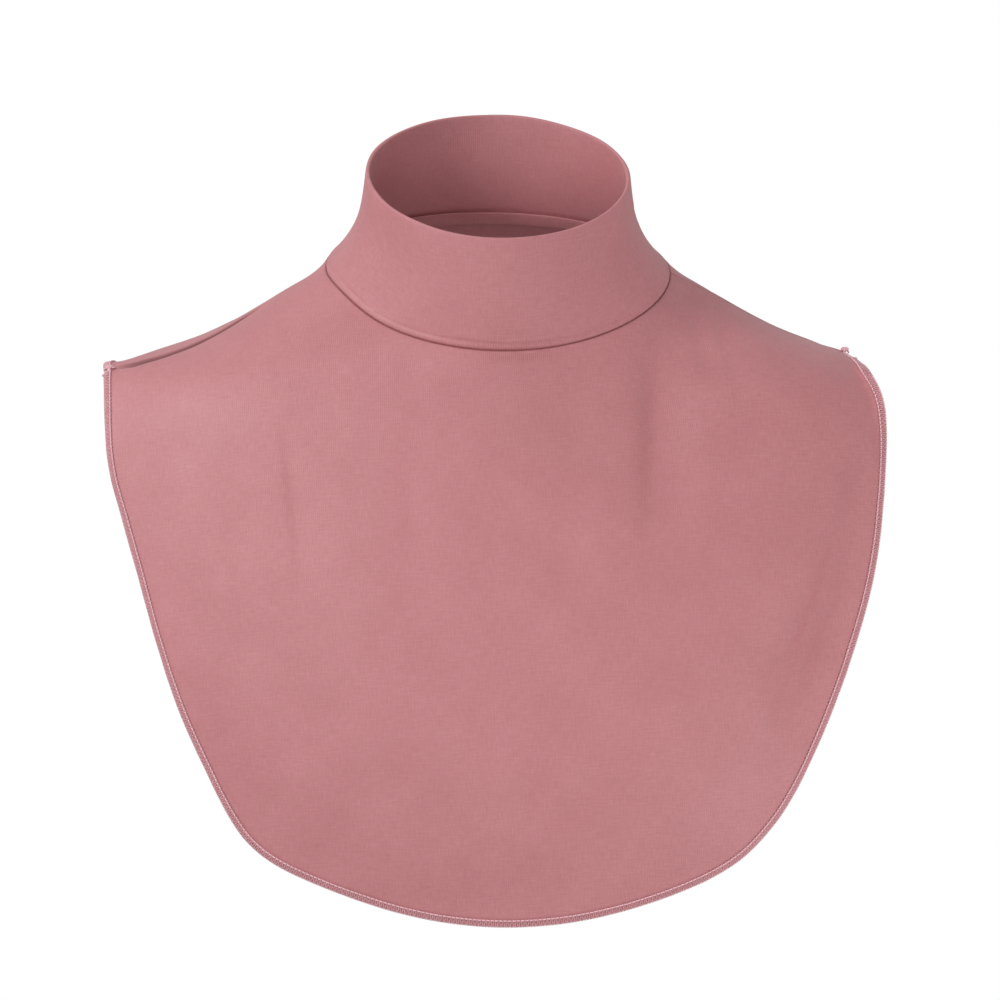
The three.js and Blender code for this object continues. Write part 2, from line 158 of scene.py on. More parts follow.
# %% [markdown]
# ## Writing a finish as sums
#
# A finish is a small program of nodes, hard to read when it is written out link by link.
# Two helpers hide the wiring. `Signal` wraps one output socket: adding, multiplying or
# raising it adds a Math node. `Finish` holds one material, and its `add` makes any node.

# %% Helpers for finishes
def sum_of(operation, swapped=False):
    """What a sign such as + does to a signal: it adds a Math node."""

    def method(self, other):
        return self.math(operation, *((other, self) if swapped else (self, other)))

    return method


class Signal:
    """One output socket of a finish."""

    def __init__(self, finish, socket):
        self.finish = finish
        self.socket = socket

    def math(self, operation, *values):
        return self.finish.add("ShaderNodeMath", {"operation": operation}, dict(enumerate(values)))

    __add__ = sum_of("ADD")
    __radd__ = sum_of("ADD", swapped=True)
    __sub__ = sum_of("SUBTRACT")
    __rsub__ = sum_of("SUBTRACT", swapped=True)
    __mul__ = sum_of("MULTIPLY")
    __truediv__ = sum_of("DIVIDE")
    __pow__ = sum_of("POWER")

    def __abs__(self):
        return self.math("ABSOLUTE", self)

    def fraction(self):
        return self.math("FRACT", self)

    def wave(self):
        """A sine that turns once from 0 to 1."""
        return self.math("SINE", self * (2 * math.pi))


class Finish:
    """One material, whose nodes are all made by add."""

    def __init__(self, name, **constants):
        self.material = bpy.data.materials.new(name)
        self.material.use_nodes = True
        self.tree = self.material.node_tree
        self.surface = self.tree.nodes["Principled BSDF"]
        self.show(**constants)

    def show(self, **values):
        """Sets or links sockets of the surface, named with _ for a space."""
        for socket, value in values.items():
            self.connect(self.surface.inputs[socket.replace("_", " ")], value)

    def add(self, kind, settings, values, output=0):
        """A node of one kind, its settings made first, then its sockets set or linked."""
        node = self.tree.nodes.new(kind)
        for name, value in settings.items():
            if name == "stops":
                ramp = node.color_ramp
                for stop, (place, colour) in enumerate(value):
                    point = ramp.elements[stop] if stop < 2 else ramp.elements.new(place)
                    point.position = place
                    point.color = colour
            else:
                setattr(node, name, value)
        for name, value in values.items():
            self.connect(node.inputs[name], value)
        return Signal(self, node.outputs[output])

    def connect(self, socket, value):
        if isinstance(value, Signal):
            self.tree.links.new(value.socket, socket)
        else:
            socket.default_value = value

    def noise(self, place, scale, detail=2.0, roughness=0.5):
        """Smooth random patches between 0 and 1."""
        inputs = {"Vector": place, "Scale": scale, "Detail": detail, "Roughness": roughness}
        return self.add("ShaderNodeTexNoise", {}, inputs)

    def streaks(self, place, size):
        """Noise with a scale of its own along each axis."""
        stretched = self.add("ShaderNodeMapping", {}, {"Vector": place, "Scale": size})
        return self.noise(stretched, 1, detail=3, roughness=0.6)

    def blend(self, first, second, share):
        """One colour giving way to another."""
        settings = {"data_type": "RGBA"}
        return self.add("ShaderNodeMix", settings, {0: share, 6: first, 7: second}, output=2)


def linear(red, green, blue):
    """A colour as the screen shows it, from 0 to 255, turned into the light that it means."""
    shares = [channel / 255 for channel in (red, green, blue)]
    return (*[s / 12.92 if s < 0.04 else ((s + 0.055) / 1.055) ** 2.4 for s in shares], 1)


# %% [markdown]
# ## The jersey
#
# Jersey is knitted from one yarn in rows of loops. On its face the loops stand in upright
# ribs, the wales, and each loop shows as a small V. The bump below is a rounded rib with
# the two legs of the V across it, measured on each piece's own UV map. The map is laid out
# in metres, so that the ribs run the way the cloth was cut.
#
# The yarn is a blend of paler and darker fibres. That shows as short streaks along the
# rows and the ribs, so two stretched noises shift the colour a little. The sheen stands
# for the soft haze of fibres on the surface. Shade is also painted into the colour. The
# valleys between the ribs are painted darker. The seams and the cloth under the stitches
# are painted dark red, which at the seams is partly the real darkening of pressed loops.

# %% Jersey finish
YARN = [(0.34, (167, 95, 99)), (0.5, (179, 109, 113)), (0.66, (191, 123, 127))]
# Painted shade: the darker tone painted into the valleys between the ribs.
PAINTED_GROOVE_SHADE = (160, 84, 88)
# Painted shade: the dark red painted into the seams and under the needle stitches.
PAINTED_SEAM_AND_STITCH_SHADE = (108, 34, 36)
RELIEF = 0.12 * MM


def jersey_finish():
    finish = Finish(
        "dusty_pink_jersey",
        Sheen_Weight=0.1,
        Sheen_Roughness=0.4,
        Sheen_Tint=(1, 0.92, 0.94, 1),
        Specular_IOR_Level=1.0,
    )
    place = finish.add("ShaderNodeUVMap", {"uv_map": "cloth"}, {})
    across, up = (
        finish.add("ShaderNodeSeparateXYZ", {}, {"Vector": place}, output=axis)
        for axis in range(2)
    )
    wobble = finish.noise(place, 60, detail=1)
    rib = abs((across / WALE + wobble * 0.6).fraction() - 0.5) * 2
    loop = (up / COURSE + rib * 0.55).wave()
    course = (up / COURSE).wave()
    height = (1 - rib**2) * 0.75 + loop * 0.22 * (1 - rib) + course * 0.06

    fibre = finish.noise(place, 2600, detail=3, roughness=0.7)
    rows = finish.streaks(place, (170, 1300, 1))
    ribs = finish.streaks(place, (1400, 210, 1))
    patches = finish.noise(place, 34, detail=3)
    shade = rows * 0.3 + ribs * 0.3 + fibre * 0.22 + patches * 0.18
    stops = [(at, linear(*tone)) for at, tone in YARN]
    colour = finish.add("ShaderNodeValToRGB", {"stops": stops}, {"Fac": shade})
    # Attributes that say where shade is painted: in the seams, in the valleys of gathered ribs and
    # under the stitches.
    seam_shade_and_press, gathered_and_shaded, stitch_shadow = (
        finish.add("ShaderNodeAttribute", {"attribute_name": name}, {}, output=2)
        for name in ("seam_shade_and_press", "gathered_and_shaded", "stitch_shadow")
    )
    # Painted shade in the valleys of the gathered ribs, which also stand out more in the bump.
    groove_shade = gathered_and_shaded * (rib**2) * 1.1
    # Painted shade: the colour is pulled toward a darker tone where the bump is low, between the
    # ribs.
    colour_with_groove_shade = finish.blend(linear(*PAINTED_GROOVE_SHADE), colour, 0.79 + height * 0.24 - groove_shade)
    # Painted shade and shadow: seams and cloth under the stitches pulled toward dark red, at the
    # seams partly pressed loops.
    pressed_and_shaded = finish.blend(colour_with_groove_shade, linear(*PAINTED_SEAM_AND_STITCH_SHADE), seam_shade_and_press * 0.95 + stitch_shadow * 0.6)
    relief = height * (1 + gathered_and_shaded * 2.5) + fibre * 0.4
    bumps = {"Height": relief, "Distance": RELIEF, "Strength": 0.5}
    normal = finish.add("ShaderNodeBump", {}, bumps)
    finish.show(Base_Color=pressed_and_shaded, Roughness=0.55 + fibre * 0.15, Normal=normal)
    return finish.material


jersey = jersey_finish()
print("jersey nodes:", len(jersey.node_tree.nodes))

# %% [markdown]
# ## The thread
#
# The edges are wrapped in a textured thread, paler and a little cooler than the cloth. The
# needle's thread is a shade paler still. Both are hairy rather than glossy, and their plies
# show as fine ridges, for which a small noise stands here.

# %% Thread finish
def thread_finish(name, dark, pale):
    finish = Finish(name, Sheen_Weight=0.2, Sheen_Roughness=0.5, Specular_IOR_Level=0.6)
    place = finish.add("ShaderNodeTexCoord", {}, {}, output=3)
    plies = finish.noise(place, 5200, detail=2)
    lengths = finish.noise(place, 260, detail=2)
    colour = finish.blend(linear(*dark), linear(*pale), plies * 0.5 + lengths * 0.5)
    bumps = {"Height": plies, "Distance": 0.05 * MM, "Strength": 0.6}
    normal = finish.add("ShaderNodeBump", {}, bumps)
    finish.show(Base_Color=colour, Roughness=0.55 + plies * 0.2, Normal=normal)
    return finish.material


looper_thread = thread_finish("looper_thread", (192, 134, 140), (230, 182, 188))
needle_thread = thread_finish("needle_thread", (206, 148, 156), (236, 192, 198))


# %% [markdown]
# ## The floor
#
# A white floor throws light back up at the cloth and flattens every fold. So this one shows
# white, like the surround, but only gives back what a grey one would.

# %% The studio floor
def floor_finish():
    finish = Finish("studio_floor", Roughness=0.9, Base_Color=(0.5, 0.5, 0.5, 1))
    white = finish.add("ShaderNodeEmission", {}, {"Strength": 1.0})
    seen = finish.add("ShaderNodeLightPath", {}, {})
    grey = Signal(finish, finish.surface.outputs["BSDF"])
    either = finish.add("ShaderNodeMixShader", {}, {0: seen, 1: grey, 2: white})
    out = next(node for node in finish.tree.nodes if node.type == "OUTPUT_MATERIAL")
    finish.connect(out.inputs["Surface"], either)
    return finish.material


def stage_square(name, reach, place, facing, finish):
    """A flat square that belongs to the studio and not to the object."""
    square = bmesh.new()
    bmesh.ops.create_grid(square, x_segments=1, y_segments=1, size=reach)
    turn = facing.to_track_quat("Z", "Y").to_matrix().to_4x4()
    bmesh.ops.transform(square, matrix=Matrix.Translation(place) @ turn, verts=square.verts)
    mesh = bpy.data.meshes.new(name)
    square.to_mesh(mesh)
    square.free()
    mesh.materials.append(finish)
    flat = new_object(name, mesh)
    print(name, "at", [round(c, 3) for c in place])
    return flat


FLOOR_DROP = 0.25
FLOOR_REACH = 14
UP = Vector((0, 0, 1))

floor = floor_finish()
stage_square("studio_floor", FLOOR_REACH, UP * (cad_box[0][2] - FLOOR_DROP), UP, floor)

# %% [markdown]
# ## A card for shade
#
# The wearer's left side of the collar lies in a soft shade. A small card in the way of the
# main lamp gives it, unseen by the camera.

# %% The shade card
SHADED = Vector((34 * MM, -86 * MM, -42 * MM))
CARD_REACH = 16 * MM
CARD_AWAY = 200 * MM

towards_lamp = (Vector(KEY_PLACE) - SHADED).normalized()
card = stage_square(
    "shade_card", CARD_REACH, SHADED + towards_lamp * CARD_AWAY, towards_lamp, floor
)
card.visible_camera = False

# %% [markdown]
# ## Seams and hems as lines
#
# A seam is shared by two cloths, so it is an object of its own: a run of points, with the
# way into the body at each of them. Every cloth asks it how far away its points lie, and
# which way the seam pulls them.

# %% Lines
class Line:
    """A run of points along a seam or hem, with one direction at each of them."""

    def __init__(self, points, ways):
        self.points = np.array([tuple(p) for p in points])
        self.ways = np.array([tuple(w) for w in ways])
        steps = np.linalg.norm(np.diff(self.points, axis=0), axis=1)
        self.reach = np.concatenate(([0], np.cumsum(steps)))

    @property
    def length(self):
        return self.reach[-1]

    def near(self, places):
        """Distance from the line, length along it, nearest point and the way there, of places."""
        places = np.atleast_2d(np.array([tuple(p) for p in places]))
        best = np.full(len(places), np.inf)
        along = np.zeros(len(places))
        for i, (start, end) in enumerate(zip(self.points, self.points[1:])):
            run = end - start
            share = np.clip((places - start) @ run / (run @ run), 0, 1)
            away = np.linalg.norm(places - start - share[:, None] * run, axis=1)
            closer = away < best
            best[closer] = away[closer]
            along[closer] = self.reach[i] + share[closer] * (self.reach[i + 1] - self.reach[i])
        return best, along, self.at(along, self.points), self.at(along, self.ways)

    def at(self, along, values):
        """Values kept at the points, read at lengths along the line."""
        return np.stack([np.interp(along, self.reach, values[:, k]) for k in range(3)], axis=-1)


# %% [markdown]
# ## From a solid to a single cloth
#
# A bib arrives as a closed wall of small triangles. Cloth is easier to shape as one sheet
# of four-sided cells, which gets its thickness at the very end. Three steps lead there. The
# outer face is found by spreading from one triangle to the next wherever the turn between
# them is gentle. The border is split at its corners. Then the face is read row by row like
# knitting, from the neck downwards, and the diagonal of each cell is taken out.

# %% The outer face
def outer_face(node, seed, gentle):
    """A copy of a solid's outer face, spread from one triangle up to the first sharp turn.

    A small triangle in a dent is steep too, so it is taken in when two of its sides already
    lie in the face.
    """
    bm = bmesh.new()
    bm.from_mesh(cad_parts[node].data)
    bmesh.ops.remove_doubles(bm, verts=bm.verts, dist=0.02 * MM)
    found = {seed(bm.faces, key=lambda face: face.calc_center_median().y)}
    spread = list(found)
    while spread:
        face = spread.pop()
        for edge in face.edges:
            for other in edge.link_faces:
                if other not in found and edge.calc_face_angle(math.pi) < math.radians(gentle):
                    found.add(other)
                    spread.append(other)

    def in_a_dent(face):
        sides = [any(other in found for other in edge.link_faces) for edge in face.edges]
        return face not in found and sum(sides) >= 2

    while dents := [face for face in bm.faces if in_a_dent(face)]:
        found.update(dents)
    rest = [face for face in bm.faces if face not in found]
    bmesh.ops.delete(bm, geom=rest, context="FACES")
    return bm


# %% The border and its corners
def border(start):
    """The border's points in order, from one of them round until it closes."""
    line = [start]
    edge = next(e for e in start.link_edges if e.is_boundary)
    while edge.other_vert(line[-1]) != start:
        line.append(edge.other_vert(line[-1]))
        edge = next(e for e in line[-1].link_edges if e.is_boundary and e != edge)
    return line


def bib_sides(bm):
    """A bib's neck line and its right shoulder line, both from the right of the neck."""
    line = border(next(vert for vert in bm.verts if vert.is_boundary))
    count = len(line)

    def turn(i):
        before = line[i].co - line[i - 1].co
        after = line[(i + 1) % count].co - line[i].co
        return before.angle(after)

    corners = sorted(range(count), key=turn)[-4:]
    neck = sorted(corners, key=lambda i: abs(line[i].co.x))[:2]
    start, end = sorted(neck, key=lambda i: line[i].co.x)
    forward = [line[(start + i) % count] for i in range(count)]
    backward = [line[(start - i) % count] for i in range(count)]
    tips = [line[i] for i in corners if i not in neck]
    way = forward if forward.index(line[end]) < forward.index(tips[0]) else backward
    other = backward if way is forward else forward
    right_tip = min(tips, key=lambda vert: vert.co.x)
    return way[: way.index(line[end]) + 1], other[: other.index(right_tip) + 1]


# %% Reading the cells row by row
def off_edge(face, edge):
    return next(vert for vert in face.verts if vert not in edge.verts)


def cell_beside(bm, left, down, right):
    """The diagonal and the last corner of the cell between left, down and right."""
    edge = bm.edges.get((left, down))
    for face in edge.link_faces:
        third = off_edge(face, edge)
        diagonal = bm.edges.get((down, right) if third == right else (left, third))
        beyond = [other for other in diagonal.link_faces if other != face]
        if beyond and right in beyond[0].verts:
            return diagonal, off_edge(beyond[0], diagonal) if third == right else third
    raise ValueError("no cell lies beside this edge")


def rows_of_cells(bm, top, side):
    """The points of a face in rows below its top line, once each cell's diagonal is gone."""
    rows = [top]
    diagonals = []
    for start in side[1:]:
        row = [start]
        for left, right in zip(rows[-1], rows[-1][1:]):
            diagonal, corner = cell_beside(bm, left, row[-1], right)
            diagonals.append(diagonal)
            row.append(corner)
        rows.append(row)
    bmesh.ops.dissolve_edges(bm, edges=diagonals, use_verts=False)
    return rows


# %% [markdown]
# ## Loop cuts where the cloth turns
#
# Subdivision rounds a shape between its points. Where cloth rolls into a seam it has to
# turn within a millimetre, so extra rows of points are laid close beside the border. Each
# edge between two rows is split at a set distance, and the new points are joined up.

# %% Loop cuts
def add_row(bm, rows, at, distance=None):
    """A new row between rows at and at + 1, halfway, or at a set distance from the first."""
    new = []
    for near, far in zip(rows[at], rows[at + 1]):
        edge = bm.edges.get((near, far))
        share = 0.5 if distance is None else min(distance / edge.calc_length(), 0.8)
        new.append(bmesh.utils.edge_split(edge, near, share)[1])
    bmesh.ops.connect_verts(bm, verts=new)
    rows.insert(at + 1, new)


def turned(rows):
    """The same points, with rows as columns."""
    return [list(column) for column in zip(*rows)]


def add_rows(bm, rows, distances):
    """Rows at these distances from the first line."""
    for distance in sorted(distances, reverse=True):
        add_row(bm, rows, 0, distance)


def relax(bm, rows, turns, face=None):
    """Evens out the cells inside the border, back onto a face if one is given."""
    inside = [vert for row in rows[1:-1] for vert in row[1:-1]]
    for _ in range(turns):
        bmesh.ops.smooth_vert(
            bm, verts=inside, factor=0.5, use_axis_x=True, use_axis_y=True, use_axis_z=True
        )
        if face:
            for vert in inside:
                vert.co = face.find_nearest(vert.co)[0]


# %% [markdown]
# ## The two bibs, as cages
#
# A cage is the coarse mesh that subdivision rounds off. Both bibs are read from their
# solids, given rows half as far apart, and relaxed on the old face until the cells are
# even. A few last turns without the face blur the solids' coarse folds, which are sculpted
# finely later on.

# %% Bib cages
BIB_TURN = 50
RELAX_ON_FACE = 12
BLUR = 5


def bib_cage(node, seed):
    """The outer face of one bib as even rows of cells, from neck to hem."""
    bm = outer_face(node, seed, BIB_TURN)
    neck, shoulder = bib_sides(bm)
    face = BVHTree.FromBMesh(bm)
    rows = rows_of_cells(bm, neck, shoulder)
    for at in reversed(range(len(rows) - 1)):
        add_row(bm, rows, at)
    relax(bm, rows, RELAX_ON_FACE, face)
    relax(bm, rows, BLUR)
    bm.normal_update()
    print(node, "cage:", len(rows), "rows of", len(rows[0]), "points,", len(bm.faces), "cells")
    return bm, rows


front, front_rows = bib_cage("front_panel", min)
back, back_rows = bib_cage("back_panel", max)

# %% [markdown]
# ## The collar, as a cage
#
# The collar is one band of cloth folded in half, so its cage is one sheet too: up the
# outside from the seam, over the fold at the top and down inside. It is a ring that starts
# at the middle of the back.

# %% Collar cage
COLLAR_TURN = 60


def collar_cage():
    """The collar's cells in rows, from its outer foot over the fold to its inner foot."""
    bm = outer_face("collar", min, COLLAR_TURN)
    middle = [vert for vert in bm.verts if abs(vert.co.x) < 0.5 * MM and vert.co.y > 0]
    feet = [vert for vert in middle if vert.is_boundary]
    start = max(feet, key=lambda vert: vert.co.y)
    side = [start]
    while len(side) < len(middle):
        beside = [edge.other_vert(side[-1]) for edge in side[-1].link_edges]
        side.append(next(vert for vert in beside if vert in middle and vert not in side))
    ring = border(start)
    rows = rows_of_cells(bm, [*ring, start], side)
    rows = [row[:-1] for row in rows]
    bm.normal_update()
    print("collar cage:", len(rows), "rows of", len(rows[0]), "points,", len(bm.faces), "cells")
    return bm, rows


collar, collar_rows = collar_cage()

# %% [markdown]
# ## Where the cloths meet
#
# The neck seam is the outer foot of the collar, and both bibs are drawn up to it. A
# shoulder seam lies halfway between the two bibs. The way into a seam is opposite to both
# cloths' outward directions taken together, so they roll in from both sides and leave the
# thin dark line that a real seam has. Painted shade, marked further on, darkens that line more.

# %% Seam lines
def seam_line(points, cloths):
    """A seam through these points, with its way in from the cloths beside it."""
    ways = []
    for point in points:
        out = Vector()
        for cloth in cloths:
            out += min(cloth, key=lambda vert: (vert.co - point).length_squared).normal
        ways.append(-out.normalized())
    return Line(points, ways)


foot = [vert.co.copy() for vert in collar_rows[0]]
neck_seam = seam_line([*foot, foot[0]], [collar_rows[0], front_rows[0] + back_rows[0]])

shoulder_seams = []
for column in (0, -1):
    pairs = list(zip(front_rows, back_rows))
    halfway = [(a[column].co + b[column].co) / 2 for a, b in pairs]
    sides = [[a[column] for a, b in pairs], [b[column] for a, b in pairs]]
    shoulder_seams.append(seam_line(halfway, sides))
print("neck seam", round(neck_seam.length, 3), "metres")
print("shoulder seams", [round(seam.length, 3) for seam in shoulder_seams])


# %% Drawing the cloths together
def join_up(rows):
    """Moves a bib's neck and shoulder borders onto the seams."""
    for vert in rows[0]:
        vert.co = neck_seam.near([vert.co])[2][0]
    for column, seam in zip((0, -1), shoulder_seams):
        for row in rows[1:]:
            row[column].co = seam.near([row[column].co])[2][0]


def let_out_hem(rows, distance):
    """Moves the hem outwards, across its own line and within the cloth."""
    line = rows[-1]
    moves = []
    for i, vert in enumerate(line):
        out = (vert.co - rows[-2][i].co).normalized()
        if 0 < i < len(line) - 1:
            ahead = (line[i + 1].co - line[i - 1].co).normalized()
            out = (out - ahead * out.dot(ahead)).normalized()
        moves.append(out * distance)
    for vert, move in zip(line, moves):
        vert.co += move


def turn_in(bm, lines, seams, depth):
    """Extrudes borders into their seams as the start of the allowance."""
    edges = [bm.edges.get(pair) for line in lines for pair in zip(line, line[1:])]
    made = bmesh.ops.extrude_edge_only(bm, edges=edges)["geom"]
    for vert in (item for item in made if isinstance(item, bmesh.types.BMVert)):
        found = [seam.near([vert.co]) for seam in seams]
        nearest = min(found, key=lambda near: near[0][0])
        vert.co += Vector(nearest[3][0]) * depth


# %% Rows beside each seam
BESIDE_SEAM = (1.3 * MM, 3.4 * MM)
BESIDE_HEM = (1.2 * MM, 3 * MM)


def finish_cage(bm, rows):
    """Draws one bib to its seams, lets out its hem and adds the rows that shape both."""
    join_up(rows)
    let_out_hem(rows, SEAM_GAP + EDGE_WIDTH)
    add_rows(bm, rows, BESIDE_SEAM)
    upwards = rows[::-1]
    add_rows(bm, upwards, BESIDE_HEM)
    rows[:] = upwards[::-1]
    for _ in range(2):
        columns = turned(rows)
        add_rows(bm, columns, BESIDE_SEAM)
        rows[:] = [row[::-1] for row in turned(columns)]
    right = [row[0] for row in rows][::-1]
    left = [row[-1] for row in rows]
    turn_in(bm, [right, rows[0], left], [neck_seam, *shoulder_seams], SEAM_DEPTH)
    bmesh.ops.recalc_face_normals(bm, faces=bm.faces)
    print("bib cage now has", len(bm.faces), "cells")


finish_cage(front, front_rows)
finish_cage(back, back_rows)

# %% Rows above the collar's foot
ABOVE_FOOT = (1.2 * MM, 2.4 * MM, 3.6 * MM)
add_rows(collar, collar_rows, ABOVE_FOOT)
foot_ring = [*collar_rows[0], collar_rows[0][0]]
turn_in(collar, [foot_ring], [neck_seam], SEAM_DEPTH)
bmesh.ops.recalc_face_normals(collar, faces=collar.faces)
print("collar cage now has", len(collar.faces), "cells")

# %% [markdown]
# ## Laying out the cloth flat
#
# The knit has to run as it was cut, upright at the centre of each piece. So each cage is
# unwrapped, like a paper pattern, turned until its centre line stands upright, and scaled
# until its cells have their real size.

# %% Unwrapping
def to_object(bm, name):
    """An object from a cage, without materials yet."""
    mesh = bpy.data.meshes.new(name)
    bm.to_mesh(mesh)
    mesh.shade_smooth()
    return new_object(name, mesh)


def face_outwards(bm, low, high):
    """Flips a sheet whose middle looks inwards. It should look from low to high."""
    middle = min(bm.faces, key=lambda face: (face.calc_center_median() - high).length)
    if middle.normal.dot(high - low) < 0:
        bmesh.ops.reverse_faces(bm, faces=bm.faces)


def unwrap(piece, top, bottom):
    """A UV map in metres, with the line from bottom to top upright."""
    mesh = piece.data
    mesh.uv_layers.new(name="cloth")
    bpy.context.view_layer.objects.active = piece
    piece.select_set(True)
    bpy.ops.object.mode_set(mode="EDIT")
    bpy.ops.mesh.select_all(action="SELECT")
    bpy.ops.uv.unwrap(method="ANGLE_BASED", margin=0)
    bpy.ops.object.mode_set(mode="OBJECT")
    piece.select_set(False)
    layer = mesh.uv_layers["cloth"]
    flat = np.array([tuple(item.vector) for item in layer.uv])
    corner = {loop.vertex_index: loop.index for loop in mesh.loops}
    line = flat[corner[top]] - flat[corner[bottom]]
    turn = math.pi / 2 - math.atan2(line[1], line[0])
    spin = np.array([[math.cos(turn), -math.sin(turn)], [math.sin(turn), math.cos(turn)]])
    real = (mesh.vertices[top].co - mesh.vertices[bottom].co).length
    flat = (flat - flat[corner[top]]) @ spin.T * real / np.linalg.norm(line)
    layer.uv.foreach_set("vector", flat.astype(np.float32).ravel())
    size = np.ptp(flat, axis=0)
    print(piece.name, "lies flat in", round(size[0], 3), "by", round(size[1], 3))


# %% The bibs' patterns
ROWS_BELOW_NECK = 3


def middle_pair(bm, rows):
    """Two points one above the other in the middle of a bib, below its neck."""
    bm.verts.index_update()
    centre = len(rows[0]) // 2
    return rows[ROWS_BELOW_NECK][centre].index, rows[len(rows) // 2][centre].index


front_middle = middle_pair(front, front_rows)
back_middle = middle_pair(back, back_rows)
face_outwards(front, Vector(), Vector((0, -0.12, -0.2)))
face_outwards(back, Vector(), Vector((0, 0.1, -0.15)))
front_bib = to_object(front, "front_bib")
back_bib = to_object(back, "back_bib")
unwrap(front_bib, *front_middle)
unwrap(back_bib, *back_middle)

# %% The collar's pattern
COLLAR_LENGTH = 384 * MM


def collar_pattern(bm, rows):
    """A UV map for the ring: round the neck by up the outside and down the inside."""
    layer = bm.loops.layers.uv.new("cloth")
    count = len(rows[0])
    place = {}
    for i in range(count):
        height = 0.0
        for r, row in enumerate(rows):
            if r:
                height += (row[i].co - rows[r - 1][i].co).length
            place[row[i]] = (i, height)
    for face in bm.faces:
        known = [place.get(loop.vert) for loop in face.loops]
        columns = [spot[0] for spot in known if spot]
        wraps = max(columns) - min(columns) > 1
        for loop, spot in zip(face.loops, known):
            i, height = spot or (columns[0], -SEAM_DEPTH)
            around = count if wraps and i == 0 else i
            loop[layer].uv = (around / count * COLLAR_LENGTH, height)


collar_pattern(collar, collar_rows)
face_outwards(collar, Vector((0, 0, 0.02)), Vector((0, -0.06, 0.02)))
collar_band = to_object(collar, "collar_band")

# %% [markdown]
# ## Rounding off
#
# The subdivision modifier turns each cell into sixteen. Its result is kept as the mesh, so
# that the folds can be sculpted on the fine points.

# %% Subdividing
LEVELS = 2


def made_mesh(piece):
    """What a piece's modifiers, or the bevel of a curve, make of it."""
    graph = bpy.context.evaluated_depsgraph_get()
    return bpy.data.meshes.new_from_object(piece.evaluated_get(graph))


def apply_modifiers(piece):
    """Keeps what the modifiers make as the piece's own mesh."""
    made = made_mesh(piece)
    old = piece.data
    piece.modifiers.clear()
    piece.data = made
    bpy.data.meshes.remove(old)
    made.name = piece.name


def round_off(piece):
    smooth = piece.modifiers.new("round_off", "SUBSURF")
    smooth.levels = LEVELS
    smooth.render_levels = LEVELS
    apply_modifiers(piece)
    print(piece.name, "has", len(piece.data.polygons), "faces")


sheets = (front_bib, back_bib, collar_band)
for piece in sheets:
    round_off(piece)

# %% [markdown]
# ## Sculpting the folds
#
# A fold is a trough from one point to another that fades in and out. The table gives each
# one as it is seen from the front: where it starts and ends, as shares of half the width
# and of the length below the neck, then the width of its two sides and its depth in
# millimetres. The sides differ, because cloth hangs steep on one side of a fold only.

# %% Folds of the front bib
HALF_WIDTH = 176 * MM
LENGTH = 270 * MM
FOLDS = [
    # from across, down    to across, down    right side, left side, depth
    ((0.925, 0.27), (0.65, 0.78), 6.0, 9.0, 3.0),
    ((0.41, 0.00), (0.385, 0.42), 7.5, 24.0, 3.2),
    ((0.40, -0.10), (0.36, 0.42), 42.0, 32.0, 1.6),
    ((0.385, 0.10), (0.38, 0.36), 4.5, 8.0, 0.6),
    ((0.475, 0.02), (0.535, 0.15), 3.5, 6.0, 0.9),
    ((0.54, 0.03), (0.605, 0.19), 3.0, 6.0, 0.7),
    ((0.16, 0.31), (0.165, 0.51), 7.0, 12.0, 0.7),
    ((-0.53, 0.20), (-0.475, 0.48), 3.0, 8.0, 0.9),
    ((-0.67, 0.24), (-0.61, 0.62), 5.0, 12.0, 0.7),
    ((-0.20, 0.28), (-0.22, 0.56), 8.0, 14.0, 0.5),
    ((0.57, 0.045), (0.91, 0.150), 1.6, 1.6, -0.5),
]


def seen_at(across, down):
    """Where these shares of the half width and the length lie, seen from the front."""
    return np.array([across * HALF_WIDTH, -down * LENGTH])


def fold_depth(places, folds):
    """How far each place is pushed in by the folds. Their right is the wearer's."""
    seen = places[:, [0, 2]]
    deep = np.zeros(len(places))
    for start, end, right, left, depth in folds:
        start = seen_at(*start)
        run = seen_at(*end) - start
        along = (seen - start) @ run / (run @ run)
        aside = (seen - start) @ np.array([-run[1], run[0]]) / np.linalg.norm(run)
        within = np.clip(1 - (2 * along - 1) ** 2, 0, 1)
        trough = np.exp(-((aside / np.where(aside < 0, right, left) / MM) ** 2))
        deep += depth * MM * within * trough
    return deep


# %% Moving the fine points
def read_points(piece):
    count = len(piece.data.vertices)
    places = np.zeros(count * 3)
    normals = np.zeros(count * 3)
    piece.data.vertices.foreach_get("co", places)
    piece.data.vertices.foreach_get("normal", normals)
    return places.reshape(-1, 3), normals.reshape(-1, 3)


def write_points(piece, places):
    piece.data.vertices.foreach_set("co", places.astype(np.float32).ravel())
    piece.data.update()


def bell(distance, middle, width):
    """A smooth hump of height 1 around a distance."""
    return np.exp(-(((distance - middle) / width) ** 2))


def fade(share, start, end):
    """Rises to 1 after the start and falls before the end, over a tenth of the way."""
    return np.clip((share - start) * 10, 0, 1) * np.clip((end - share) * 10, 0, 1)


def ripple(places, size, seed):
    """Soft random unevenness between about -1 and 1, the same on every run."""
    shift = Vector((seed, seed * 2.3, -seed))
    return np.array([noise.noise(Vector(place) / size + shift) for place in places])


def clear_of_seams(places):
    """The distance of each place from the nearest seam."""
    return np.min([seam.near(places)[0] for seam in [neck_seam, *shoulder_seams]], axis=0)


UNEVEN = [
    # height, size    seed
    (0.5 * MM, 30 * MM, 3.1),
    (0.2 * MM, 11 * MM, 7.7),
]
PUCKER = {"height": 0.18 * MM, "reach": 3 * MM, "size": 4 * MM, "seed": 1.9, "from": 0.9 * MM}
HELD_BY_SEAM = 7 * MM


